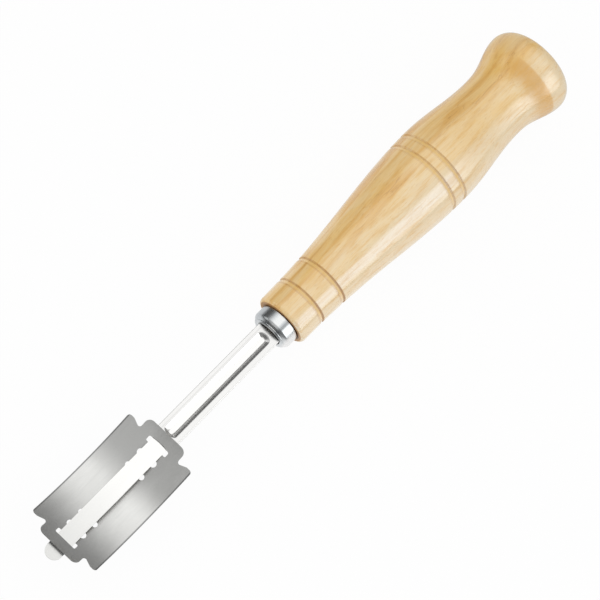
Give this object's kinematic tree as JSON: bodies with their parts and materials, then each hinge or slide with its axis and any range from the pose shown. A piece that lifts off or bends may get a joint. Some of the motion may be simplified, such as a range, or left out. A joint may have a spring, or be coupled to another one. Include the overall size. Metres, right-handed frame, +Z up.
{
  "type": "bread lame",
  "caption": "Bread scoring lame: turned, varnished wood handle with scorched rings, domed ferrule, crimped steel shank and a flat tongue that carries a bowed double-edge razor blade.",
  "frame": {"origin": "on the table, under the middle of the tool's length, when the tool lies flat with the hollow side of the blade up", "axes": "+X along the tool from the butt to the tip, +Z up, out of the hollow side of the blade, +Y across the blade"},
  "size_m": [0.189, 0.0254, 0.0255],
  "materials": {
    "varnished_beech": "clear gloss varnish over fine lengthwise grain",
    "plated_steel": "bright nickel plate",
    "polished_stainless": "polished",
    "blade_steel": "satin, with fine lengthwise brushing and honed edges",
    "cured_adhesive": "cured resin"
  },
  "bodies": {
    "holder": {"handle": "varnished_beech", "ferrule": "plated_steel", "shank_tube": "polished_stainless", "tongue": "polished_stainless", "tang_glue": "cured_adhesive"},
    "blade": {"razor_blade": "blade_steel"}
  },
  "joints": [
    {"name": "blade_slide", "type": "slide", "parent": "holder", "child": "blade", "axis": [1, 0, 0], "range_m": [0, 0.046]}
  ]
}
